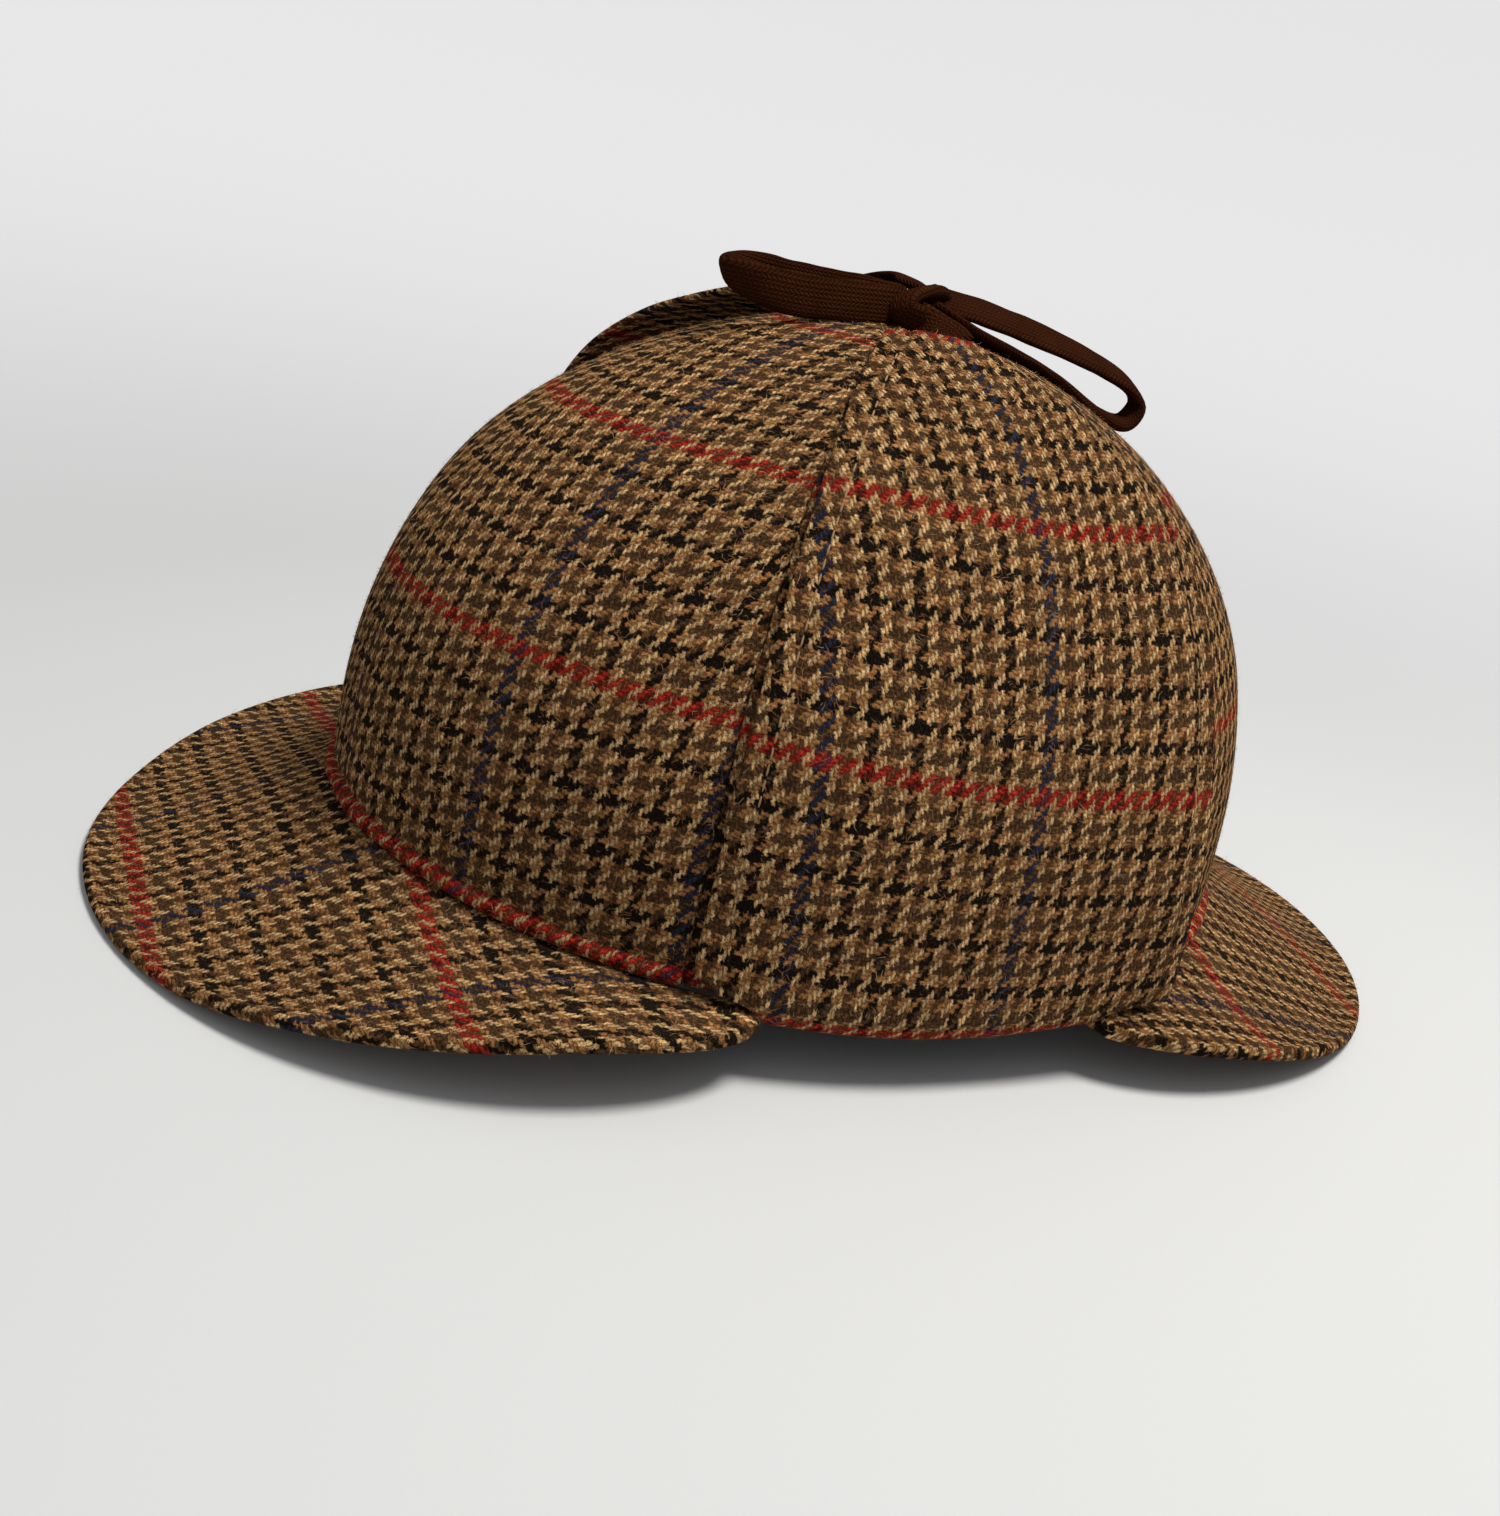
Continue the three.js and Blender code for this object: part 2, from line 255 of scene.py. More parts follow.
# Rows of a flap's middle, from the sewn edge to the tip: its front edge lifts and its back edge flares
FLAP_ROWS = [
    {"off": -1.7, "height": -1.65, "front": 69.5, "back": 106, "lift": 0, "flare": 0},
    {"off": 0.7, "height": -1.85, "front": 69, "back": 106.5, "lift": 0, "flare": 0},
    {"off": 2.0, "height": -0.4, "front": 68.2, "back": 107.5, "lift": 0, "flare": 2},
    {"off": 2.25, "height": 1.1, "front": 65.8, "back": 114, "lift": 0, "flare": 4.2},
    {"off": 2.3, "height": 2.4, "front": 62.8, "back": 118, "lift": 0, "flare": 6.2},
    {"off": 2.2, "height": 6, "front": 61, "back": 118.5, "lift": 0, "flare": 7.6},
    {"off": 2.0, "height": 18, "front": 61, "back": 118.75, "lift": 2, "flare": 8},
    {"off": 2.0, "height": 36, "front": 61, "back": 118.25, "lift": 5.8, "flare": 8},
    {"off": 2.0, "height": 54, "front": 61, "back": 118.25, "lift": 10, "flare": 7.5},
    {"off": 2.0, "height": 71, "front": 61, "back": 120.25, "lift": 14, "flare": 6.5},
    {"off": 2.0, "height": 86, "front": 61, "back": 123.5, "lift": 15.6, "flare": 5},
    {"off": 2.0, "height": 98, "front": 61, "back": 126, "lift": 12.9, "flare": 3.2},
    {"off": 2.0, "height": 107, "front": 61, "back": 127.5, "lift": 9.7, "flare": 1.6},
    {"off": 2.0, "height": 114, "front": 61, "back": 128, "lift": 7, "flare": 0.6},
    {"off": 2.0, "height": 119, "front": 62, "back": 127.5, "lift": 4.8, "flare": 0},
]
FLAPS = [
    {"name": "left", "side": 1, "stand_off": 0.08, "blue_at": 0.8, "seed": 8},
    {"name": "right", "side": -1, "stand_off": 1.0, "blue_at": -4.0, "seed": 6},
]

# Stitches along the flaps' edges, with the places and girths of the rings of one stitch
STITCH_PITCH = 3.0
STITCH_LENGTH = 2.2
STITCH_RADIUS = 0.22
STITCH_UPRIGHT = (0, 0.3, 1)
STITCH_SIDES = 6
STITCH_RINGS = ((0.0, 0.35), (0.2, 0.9), (0.5, 1.0), (0.8, 0.9), (1.0, 0.35))
STITCH_TWIST = 12.0
# Painted shade and highlight of the stitches' twist, as a gain and an offset
STITCH_PAINTED_SHADING = (0.2, 0.8)

# Loose wool hairs: LENGTH and both RISE pairs are a least and a most
HAIR_LENGTH = (0.8, 3.0)
HAIR_RISE = (0.05, 0.75)
HAIR_TIP_RISE = (0.2, 1.6)
HAIR_BEND = 0.22
HAIR_HALF_WIDTH = 0.028
HAIR_ROOT_DEPTH = 0.1
HAIR_LOWEST = 0.05
HAIR_LIGHT = (0.4, 0.7)
HAIRS_PER_MM2 = 0.6

# Tapes of the bow: a route's stations are points in the frame, or places on the crown
TAPE_WIDTH = 8.5
TAPE_THICKNESS = 1.8
TAPE_RIPPLE = {"size": 6, "depth": 0.12}
TAPE_SIDE_ROUND = 0.7
TAPE_FACE_ROUND = 0.75
TAPE_SIDES = 20
TAPE_STEP = 0.9
CURVE_SAMPLES = 24
CURVE_LEAST_POINTS = 8
LOOP_GIRTH = [
    (0.9, 1.2), (1, 1), (1, 1), (1, 1.15), (0.78, 2.1), (1, 1.15), (1, 1), (1, 1), (0.9, 1.2)]
TAPES = [
    {"name": "bow_loop_front", "width": 8.8, "girth": LOOP_GIRTH,
     "across": [(-0.25, 0, 1), (-0.2, 0, 1), (-0.1, -0.5, 1), (0, 0, 1), (0, 0, 1)], "route": [
        (3.5, 1.5, 139.0), (5.2, -5, 138.7), (5.6, -13, 138.3), (5.2, -24, 138.0), (3.2, -32, 138.7),
        (-1.2, -37.0, 140.0), (-5.0, -33.5, 140.0), (-6.4, -22, 139.4), (-4.8, -8, 139.2),
        (-1.5, 2.5, 139.4)]},
    {"name": "bow_loop_back", "girth": [(0.9, 1.3), (0.95, 1.3), (0.75, 1.6), (0.95, 1.3), (0.9, 1.2)],
     "across": [(0.8, 0, -0.6), (0.8, 0, -0.6), (0.9, 0, -0.3), (1, 0.1, 0.1), (1, 0.1, 0.1)], "route": [
        (1, 11, 141.0), (1, 19, 140.5), (1, 29, 138.9), (1, 42, 136.3), (1.3, 54, 133.2),
        (1.7, 62.4, 130), (2.2, 66.4, 125.8), (3, 63.2, 121.4), (4, 55, 122.9), (4, 42, 128.6),
        (4.6, 28, 133.2), (6.2, 18, 136.0), (6.6, 12.4, 138.0), (4.6, 8, 139.8)]},
    {"name": "ribbon_left", "width": 7.4, "across": [(-0.3, 1, 0.5), (0.6, 1, 0.5)], "route": [
        (19.2, 7.0, 134.9), (15.5, 6.6, 136.0), (12, 5.0, 136.7), (9.4, 2.2, 137.2)]},
    {"name": "ribbon_right", "across": [(0, 1, -0.2)], "route": [
        (-18.6, 6.6, 137.2), (-12.4, 6.8, 139.4), (-5.4, 7, 140)]},
    {"name": "ribbon_tail_left", "across": [(0, 1, -0.2)], "free": True, "route": [
        (-5.4, 8, 142.4), (-13, 8.4, 143.2), {"angle": -96, "height": 116, "off": 8.8},
        {"angle": -97, "height": 109, "off": 8.8}, {"angle": -98, "height": 100, "off": 8.4}]},
    {"name": "ribbon_tail_right", "across": [(1, 0.35, 0)], "free": True, "route": [
        (-5.6, 13.2, 137.8), {"angle": -160, "height": 118, "off": 1.5},
        {"angle": -160, "height": 111, "off": 1.6}, {"angle": -160, "height": 102, "off": 1.6},
        {"angle": -160, "height": 92, "off": 1.6}]},
]

# The knot: the near tape turns up and over the roots of the loops
KNOT_WIDTH = 6.4
KNOT_THICKNESS = 3.0
KNOT_ROUTE = [
    (10.4, 3.6, 136.9), (8.2, 0.2, 137.6), (7.2, -0.9, 139.2), (5.8, 0.9, 141.0), (3.6, 5.2, 142.2),
    (1.0, 9.6, 142.4), (-2.0, 11.8, 141.0), (-4.4, 11.0, 138.6), (-4.6, 7.5, 137.0)]
KNOT_ACROSS = [(0.55, 0.75, 0.35), (0.65, 0.1, 0.25), (0.75, -0.6, 0.1)]
KNOT_CORE_AT = (0.2, 6.8, 139.6)
KNOT_CORE_HALF = (5.0, 5.4, 3.1)
KNOT_CORE_RINGS = 14
KNOT_CORE_RIPPLE = {"size": 0.7, "depth": 0.15}
KNOT_CORE_RADIUS = 5


def smooth(start, end, value):
    t = min(1.0, max(0.0, (value - start) / (end - start)))
    return t * t * (3 - 2 * t)


# The dome's shape

def rim_z(angle):
    return RIM_HEIGHT + RIM_RISE * math.cos(angle) ** 2


def climb_at(height):
    return math.asin((max(0.0, height) / CROWN_HEIGHT) ** (HEIGHT_POWER / 2))


def dome_point(angle, climb):
    rise = math.sin(climb) ** (2 / HEIGHT_POWER)
    spread = math.cos(climb) ** (2 / WIDTH_POWER)
    base = rim_z(angle) - RIM_HEIGHT
    return Vector((
        HALF_WIDTH * spread * math.sin(angle),
        -HALF_LENGTH * spread * math.cos(angle) + rise * TOP_SHIFT,
        RIM_HEIGHT + base * (1 - rise) + rise * CROWN_HEIGHT,
    ))


def dome_normal(angle, climb):
    step = 1e-3
    here = dome_point(angle, climb)
    around = dome_point(angle + step, climb) - here
    up = dome_point(angle, climb + step) - here
    return around.cross(up).normalized()


def crown_point(degrees, height, off):
    angle = math.radians(degrees)
    climb = climb_at(height)
    point = dome_point(angle, climb) + dome_normal(angle, climb) * off
    point.z += min(0.0, height)
    return point


# Meshes

def make_object(name, points, faces, uvs, material):
    """A smooth mesh from points in millimetres, with the cloth's own coordinates in a UV map."""
    mesh = bpy.data.meshes.new(name)
    mesh.from_pydata((np.array(points, dtype=float) * MM).tolist(), [], faces)
    mesh.polygons.foreach_set("use_smooth", np.ones(len(mesh.polygons), dtype=bool))
    corner = np.zeros(len(mesh.loops), dtype=np.int32)
    mesh.loops.foreach_get("vertex_index", corner)
    layer = mesh.uv_layers.new(name="weave")
    layer.data.foreach_set("uv", np.array(uvs, dtype=np.float32)[corner].ravel())
    mesh.materials.append(material)
    obj = bpy.data.objects.new(name, mesh)
    bpy.context.scene.collection.objects.link(obj)
    return obj


def grid_normals(grid):
    normals = np.cross(np.gradient(grid, axis=1), np.gradient(grid, axis=0))
    return normals / np.linalg.norm(normals, axis=2, keepdims=True)


def run_lengths(points):
    """Distance along a line of points, from its first."""
    steps = np.linalg.norm(np.diff(points, axis=0), axis=1)
    return np.concatenate([[0.0], np.cumsum(steps)])


def edge_distance(middle):
    """Distance of each grid point from the nearest border of the cloth."""
    rows, columns = middle.shape[:2]
    run = run_lengths(middle[:, columns // 2])
    near_end = np.minimum(run, run[-1] - run)
    far = np.zeros((rows, columns))
    for row in range(rows):
        run = run_lengths(middle[row])
        far[row] = np.minimum(np.minimum(run, run[-1] - run), near_end[row])
    return far


def cloth(name, middle, thickness, swell, outer_uv, inner_uv, material):
    """Closed cloth of a thickness round a grid of its middle, with rounded edges; gives its face too."""
    rows, columns = middle.shape[:2]
    half = np.broadcast_to(np.asarray(thickness) / 2, (rows, columns))
    inset = np.clip(edge_distance(middle) / half, 0.0, 1.0)
    stand = half * np.sqrt(1 - (1 - inset) ** 2)
    normals = grid_normals(middle)
    outer = middle + normals * (stand + swell)[..., None]
    inner = middle - normals * stand[..., None]
    face_uv = outer_uv(outer, inset)
    back_uv = inner_uv(face_uv)
    inside = np.zeros((rows, columns), dtype=bool)
    inside[1:-1, 1:-1] = True
    points = np.concatenate([outer.reshape(-1, 3), inner[inside]])
    uvs = np.concatenate([face_uv.reshape(-1, 2), back_uv[inside]])
    face_index = np.arange(rows * columns).reshape(rows, columns)
    back_index = face_index.copy()
    back_index[inside] = rows * columns + np.arange(inside.sum())
    faces = []
    for index, order in ((face_index, 1), (back_index, -1)):
        ring = (index[:-1, :-1], index[:-1, 1:], index[1:, 1:], index[1:, :-1])
        faces += np.stack(ring[::order], axis=-1).reshape(-1, 4).tolist()
    return make_object(name, points, faces, uvs, material), outer


def dress(obj, node):
    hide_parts(node)
    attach(obj, "root")


def ripple(point, size, depth):
    """A slow unevenness of the cloth."""
    return depth * noise.noise(Vector(point) / size)


def shares(count, width, near_edge):
    """Column shares from 0 to 1, set close together at the given distances from both edges."""
    fit = min(1.0, width / (EDGE_BANDS * near_edge[-1]))
    edge = [d * fit / width for d in near_edge]
    inner = np.linspace(edge[-1], 1 - edge[-1], count - 2 * len(edge) + 2)[1:-1]
    return np.array(edge + list(inner) + [1 - e for e in reversed(edge)])


def catmull(values, place):
    """Smooth value between the rows of a table, at a row number with a fraction."""
    last = len(values) - 1
    first = min(int(place), last - 1)
    t = place - first
    p0, p1, p2, p3 = (values[min(last, max(0, first + k))] for k in (-1, 0, 1, 2))
    return p1 + 0.5 * t * (p2 - p0 + t * (2 * p0 - 5 * p1 + 4 * p2 - p3 + t * (3 * (p1 - p2) + p3 - p0)))


# Materials

class Graph:
    """Short calls for building a material's nodes."""

    def __init__(self, name):
        self.material = bpy.data.materials.new(name)
        self.material.use_nodes = True
        self.nodes = self.material.node_tree.nodes
        self.links = self.material.node_tree.links
        self.shader = self.nodes["Principled BSDF"]

    def put(self, socket, value):
        if isinstance(value, bpy.types.NodeSocket):
            self.links.new(value, socket)
        else:
            socket.default_value = value

    def math(self, operation, *values):
        node = self.nodes.new("ShaderNodeMath")
        node.operation = operation
        for socket, value in zip(node.inputs, values):
            self.put(socket, value)
        return node.outputs[0]

    def mix(self, share, first, second, blend="MIX"):
        node = self.nodes.new("ShaderNodeMix")
        node.data_type = "RGBA"
        node.blend_type = blend
        self.put(node.inputs["Factor"], share)
        for socket, value in zip((node.inputs[6], node.inputs[7]), (first, second)):
            self.put(socket, value if isinstance(value, bpy.types.NodeSocket) else (*value, 1.0))
        return node.outputs[2]

    def choose(self, share, first, second):
        """A number between two others."""
        return self.math("MULTIPLY_ADD", share, self.math("SUBTRACT", second, first), first)

    def shade(self, colour, tone):
        """A colour made lighter or darker."""
        node = self.nodes.new("ShaderNodeCombineColor")
        for socket in node.inputs[:3]:
            self.put(socket, tone)
        return self.mix(1.0, colour, node.outputs[0], "MULTIPLY")

    def noise(self, vector, scale, detail=2.0):
        node = self.nodes.new("ShaderNodeTexNoise")
        self.put(node.inputs["Vector"], vector)
        node.inputs["Scale"].default_value = scale
        node.inputs["Detail"].default_value = detail
        return node.outputs["Fac"]

    def random(self, index):
        node = self.nodes.new("ShaderNodeTexWhiteNoise")
        node.noise_dimensions = "1D"
        self.put(node.inputs["W"], index)
        return node.outputs["Value"]

    def join(self, x, y, z=0.0):
        node = self.nodes.new("ShaderNodeCombineXYZ")
        for socket, value in zip(node.inputs, (x, y, z)):
            self.put(socket, value)
        return node.outputs[0]

    def weave_uv(self):
        node = self.nodes.new("ShaderNodeUVMap")
        node.uv_map = "weave"
        split = self.nodes.new("ShaderNodeSeparateXYZ")
        self.links.new(node.outputs[0], split.inputs[0])
        return node.outputs[0], split.outputs[0], split.outputs[1]

    def stripes(self, position, colours):
        """Equal bands of colour, for a position from 0 to 1."""
        node = self.nodes.new("ShaderNodeValToRGB")
        ramp = node.color_ramp
        ramp.interpolation = "CONSTANT"
        while len(ramp.elements) < len(colours):
            ramp.elements.new(0.5)
        for number, colour in enumerate(colours):
            ramp.elements[number].position = number / len(colours)
            ramp.elements[number].color = (*colour, 1.0)
        self.put(node.inputs[0], position)
        return node.outputs[0]

    def bump(self, height, distance, strength):
        node = self.nodes.new("ShaderNodeBump")
        node.inputs["Strength"].default_value = strength
        node.inputs["Distance"].default_value = distance
        self.put(node.inputs["Height"], height)
        self.links.new(node.outputs[0], self.shader.inputs["Normal"])

    def cloth_finish(self, roughness, specular, sheen=0.0):
        inputs = self.shader.inputs
        inputs["Roughness"].default_value = roughness
        inputs["Specular IOR Level"].default_value = specular
        inputs["Sheen Weight"].default_value = sheen
        inputs["Sheen Roughness"].default_value = SHEEN_ROUGHNESS
        inputs["Sheen Tint"].default_value = (*SHEEN_TAN, 1.0)


def thread_colour(g, index, colours, overcheck):
    """Colour of a warp or weft thread by its number, with its own small change of tone."""
    place = g.math("DIVIDE", g.math("FLOORED_MODULO", index, REPEAT_THREADS), REPEAT_THREADS)
    place = g.math("ADD", place, 0.5 / REPEAT_THREADS)
    colour = g.stripes(place, colours)
    round_number = g.math("FLOORED_MODULO", index, REPEAT_THREADS * OVERCHECK_REPEATS)
    over = g.math("LESS_THAN", round_number, OVERCHECK_THREADS - 0.5)
    colour = g.mix(over, colour, overcheck)
    return g.shade(colour, g.math("MULTIPLY_ADD", g.random(index), *THREAD_LIGHT)), over


def float_shape(g, across, along):
    """Height of a thread where it floats on top: round across, and sinking at its two ends."""
    side = g.math("MULTIPLY", g.math("PINGPONG", across, 0.5), 2.0)
    end = g.math("MULTIPLY", g.math("PINGPONG", along, 0.5), 2.0)
    return g.math("MULTIPLY", g.math("POWER", side, FLOAT_ROUNDNESS), g.math("POWER", end, FLOAT_SINK))


def tweed_material():
    g = Graph("tweed")
    uv, u, v = g.weave_uv()
    far_along, far_up = SECOND_NOISE_AT
    other = g.join(g.math("ADD", u, far_along), v, far_up)

    # Loose yarn: the threads wander slowly, and their edges are ragged
    def thread_place(value, repeat, vector):
        place = g.math("DIVIDE", value, repeat / REPEAT_THREADS)
        place = g.math("ADD", place, STRIPE_THREADS / 2)
        slow = g.math("SUBTRACT", g.noise(vector, WANDER_SCALE, detail=1.0), 0.5)
        place = g.math("MULTIPLY_ADD", slow, WANDER, place)
        quick = g.math("SUBTRACT", g.noise(vector, RAGGED_SCALE, detail=4.0), 0.5)
        return g.math("MULTIPLY_ADD", quick, RAGGED, place)

    warp = thread_place(u, WARP_REPEAT, uv)
    weft = thread_place(v, WEFT_REPEAT, other)
    warp_number = g.math("FLOOR", warp)
    weft_number = g.math("FLOOR", weft)
    step = g.math("FLOORED_MODULO", g.math("SUBTRACT", warp_number, weft_number), TWILL_STEPS)
    warp_up = g.math("LESS_THAN", step, TWILL_FLOAT - 0.5)
    warp_stripes = (BLACK_WOOL, WARP_TAN, WARP_BROWN, WARP_TAN)
    weft_stripes = (BLACK_WOOL, WEFT_TAN, WEFT_BROWN, WEFT_TAN)
    warp_colour, _ = thread_colour(g, warp_number, warp_stripes, NAVY_WOOL)
    weft_colour, red = thread_colour(g, weft_number, weft_stripes, RED_WOOL)
    # The red wool is hairy and shows over the threads that cross it
    cover = g.math("MULTIPLY", warp_up, g.math("MULTIPLY_ADD", red, -RED_SPREAD, 1.0))
    colour = g.mix(cover, weft_colour, warp_colour)

    # Each float is a short rounded stroke of yarn; its height is also painted into the colour as shade and
    # highlight
    warp_run = g.math("ADD", g.math("SUBTRACT", weft, warp_number), 1.0)
    weft_run = g.math("SUBTRACT", g.math("SUBTRACT", warp, weft_number), TWILL_FLOAT)
    warp_run = g.math("DIVIDE", g.math("FLOORED_MODULO", warp_run, TWILL_STEPS), TWILL_FLOAT)
    weft_run = g.math("DIVIDE", g.math("FLOORED_MODULO", weft_run, TWILL_STEPS), TWILL_FLOAT)
    shape = g.choose(warp_up, float_shape(g, weft, weft_run), float_shape(g, warp, warp_run))

    # Fibres lie nearly along the threads, turned a little by the twist
    def fibres(across, along):
        turned = g.math("MULTIPLY_ADD", along, FIBRE_TWIST, across)
        turned = g.math("MULTIPLY", turned, FIBRES_ACROSS)
        return g.noise(g.join(turned, g.math("MULTIPLY", along, FIBRES_ALONG)), 1.0, detail=3.0)

    grain = g.choose(warp_up, fibres(v, u), fibres(u, v))
    # Painted shade and highlight: the colour is lighter on each float's crest and darker at its sides and
    # ends, where shade falls between the yarns
    light = g.math("MULTIPLY_ADD", shape, *FLOAT_PAINTED_SHADING)
    light = g.math("MULTIPLY", light, g.math("MULTIPLY_ADD", grain, *GRAIN_LIGHT))
    patch = g.math("MULTIPLY_ADD", g.noise(uv, PATCH_SCALE, detail=3.0), *PATCH_LIGHT)
    colour = g.shade(colour, g.math("MULTIPLY", light, patch))
    # Stray wool lies over all the colours
    haze = g.math("SUBTRACT", g.noise(other, HAZE_SCALE, detail=5.0), HAZE_FROM)
    haze = g.math("MULTIPLY", g.math("MAXIMUM", haze, 0.0), HAZE_GAIN)
    haze = g.math("MINIMUM", haze, HAZE_MOST)
    colour = g.mix(haze, colour, g.shade(WEFT_TAN, grain))
    g.put(g.shader.inputs["Base Color"], colour)
    g.cloth_finish(roughness=1.0, specular=0.0, sheen=0.03)
    g.bump(g.math("MULTIPLY_ADD", grain, GRAIN_RELIEF, shape), distance=0.0006, strength=1.0)
    return g.material


def tape_material():
    g = Graph("tape")
    uv, u, v = g.weave_uv()
    # A flat braid: slanted strands that meet in narrow ribs
    rib = g.math("PINGPONG", u, RIB_WIDTH)
    chevron = g.math("MULTIPLY_ADD", rib, STRAND_SLANT, g.math("MULTIPLY", v, STRANDS_PER_MM))
    plait = g.math("MULTIPLY", g.math("PINGPONG", chevron, 0.5), 2.0)
    groove = g.math("MULTIPLY", g.math("PINGPONG", rib, RIB_WIDTH / 2), RIB_GAIN)
    height = g.math("MULTIPLY", g.math("POWER", plait, STRAND_ROUNDNESS), g.math("POWER", groove, 0.5))
    fuzz = g.noise(uv, BRAID_FUZZ_SCALE, detail=5.0)
    patch = g.math("MULTIPLY_ADD", g.noise(uv, BRAID_PATCH_SCALE), *PATCH_LIGHT)
    # Painted shade and highlight: the braid is drawn darker in the grooves between its strands and lighter
    # on their crests
    tone = g.math("MULTIPLY_ADD", height, *BRAID_PAINTED_SHADING)
    tone = g.math("MULTIPLY", tone, g.math("MULTIPLY_ADD", fuzz, *BRAID_FUZZ_LIGHT))
    tone = g.math("MULTIPLY", tone, patch)
    g.put(g.shader.inputs["Base Color"], g.shade(TAPE_BROWN, tone))
    g.cloth_finish(roughness=0.95, specular=0.01)
    g.bump(g.math("MULTIPLY_ADD", fuzz, BRAID_FUZZ_RELIEF, height), distance=0.0004, strength=0.9)
    return g.material


def stitch_material():
    g = Graph("stitch_thread")
    _, u, v = g.weave_uv()
    twist = g.math("SINE", g.math("MULTIPLY", g.math("ADD", u, v), STITCH_TWIST))
    # Painted shade and highlight: the thread is drawn darker in the grooves of its twist and lighter on
    # its ridges
    tone = g.math("MULTIPLY_ADD", twist, *STITCH_PAINTED_SHADING)
    g.put(g.shader.inputs["Base Color"], g.shade(STITCH_TAN, tone))
    g.cloth_finish(roughness=0.8, specular=0.2)
    g.bump(twist, distance=0.0001, strength=0.5)
    return g.material


def hair_material():
    g = Graph("wool_hair")
    _, u, v = g.weave_uv()
    colours = (BLACK_WOOL, WEFT_BROWN, WEFT_TAN, WEFT_TAN, WEFT_BROWN, PALE_WOOL)
    tone = g.math("MULTIPLY_ADD", g.random(v), *HAIR_LIGHT)
    g.put(g.shader.inputs["Base Color"], g.shade(g.stripes(u, colours), tone))
    g.cloth_finish(roughness=0.8, specular=0.2)
    return g.material


def floor_material():
    g = Graph("floor")
    geometry = g.nodes.new("ShaderNodeNewGeometry")
    speck = g.noise(geometry.outputs["Position"], FLOOR_SPECK_SCALE)
    tone = g.math("MULTIPLY_ADD", speck, *FLOOR_SPECK_LIGHT)
    g.put(g.shader.inputs["Base Color"], g.shade(FLOOR_WHITE, tone))
    g.shader.inputs["Roughness"].default_value = FLOOR_ROUGHNESS
    # Far from the hat the floor melts into the pale surroundings, evenly as it shrinks with distance
    far = g.nodes.new("ShaderNodeVectorMath")
    far.operation = "LENGTH"
    g.put(far.inputs[0], geometry.outputs["Position"])
    near, gone = FLOOR_FADE
    fade = g.nodes.new("ShaderNodeMapRange")
    fade.interpolation_type = "SMOOTHSTEP"
    g.put(fade.inputs["Value"], g.math("DIVIDE", 1.0, far.outputs["Value"]))
    fade.inputs["From Min"].default_value = 1 / gone
    fade.inputs["From Max"].default_value = 1 / near
    g.put(g.shader.inputs["Alpha"], fade.outputs["Result"])
    return g.material


# Wool hairs

def hair_piece(name, face, material, seed):
    """Loose hairs of wool on the face of a cloth, each a thin bent strip."""
    pick = np.random.default_rng(seed)
    along = face[:-1, 1:] - face[:-1, :-1]
    up = face[1:, :-1] - face[:-1, :-1]
    cross = np.cross(along, up)
    area = np.linalg.norm(cross, axis=2)
    count = int(area.sum() * HAIRS_PER_MM2)
    cell = pick.choice(area.size, count, p=(area / area.sum()).ravel())
    row, column = np.unravel_index(cell, area.shape)
    s, t = pick.random((2, count, 1))
    root = face[row, column] + along[row, column] * s + up[row, column] * t
    normal = cross[row, column] / area[row, column][:, None]
    side = np.cross(normal, pick.normal(size=(count, 3)))
    side /= np.linalg.norm(side, axis=1, keepdims=True)
    lie = np.cross(side, normal)
    length = pick.uniform(*HAIR_LENGTH, (count, 1))
    rise = pick.uniform(*HAIR_RISE, (count, 1)) * pick.random((count, 1))
    bend = side * length * pick.normal(0, HAIR_BEND, (count, 1))
    middle = root + lie * length * 0.5 + normal * rise + bend
    tip = root + lie * length + normal * rise * pick.uniform(*HAIR_TIP_RISE, (count, 1))
    wide = side * HAIR_HALF_WIDTH
    root = root - normal * HAIR_ROOT_DEPTH
    corners = [root - wide, root + wide, middle - wide, middle + wide, tip]
    points = np.stack(corners, axis=1).reshape(-1, 3)
    points[:, 2] = np.maximum(points[:, 2], HAIR_LOWEST)
    first = np.arange(count)[:, None] * len(corners)
    faces = (first + [0, 1, 3, 2]).tolist() + (first + [2, 3, 4]).tolist()
    uvs = np.repeat(pick.random((count, 2)), len(corners), axis=0)
    obj = make_object(name, points, faces, uvs, material)
    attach(obj, "root")


# The crown

def bead_share(degrees, gore):
    """Where the rolled hem shows: 1 on the free stretch of the rim, 0 under a flap."""
    if not gore["bead_to"]:
        return 0.0
    share = smooth(gore["bead_from"] - BEAD_FADE, gore["bead_from"] + BEAD_FADE, degrees)
    if gore["bead_from"] in (0, 180):
        share = 1.0
    if gore["bead_to"] in (180, 360):
        return share
    return share * (1 - smooth(gore["bead_to"] - BEAD_FADE, gore["bead_to"] + BEAD_FADE, degrees))


def bead_swell(height):
    """How far the rolled hem stands out, with the crease above it."""
    if height > BEAD_HEIGHT:
        return -BEAD_CREASE * (1 - smooth(BEAD_HEIGHT, BEAD_HEIGHT + BEAD_CREASE_HEIGHT, height))
    half = BEAD_HEIGHT / 2
    roll = math.sqrt(max(0.0, 1 - ((height - half) / half) ** 2))
    return BEAD_SWELL * roll - BEAD_CREASE


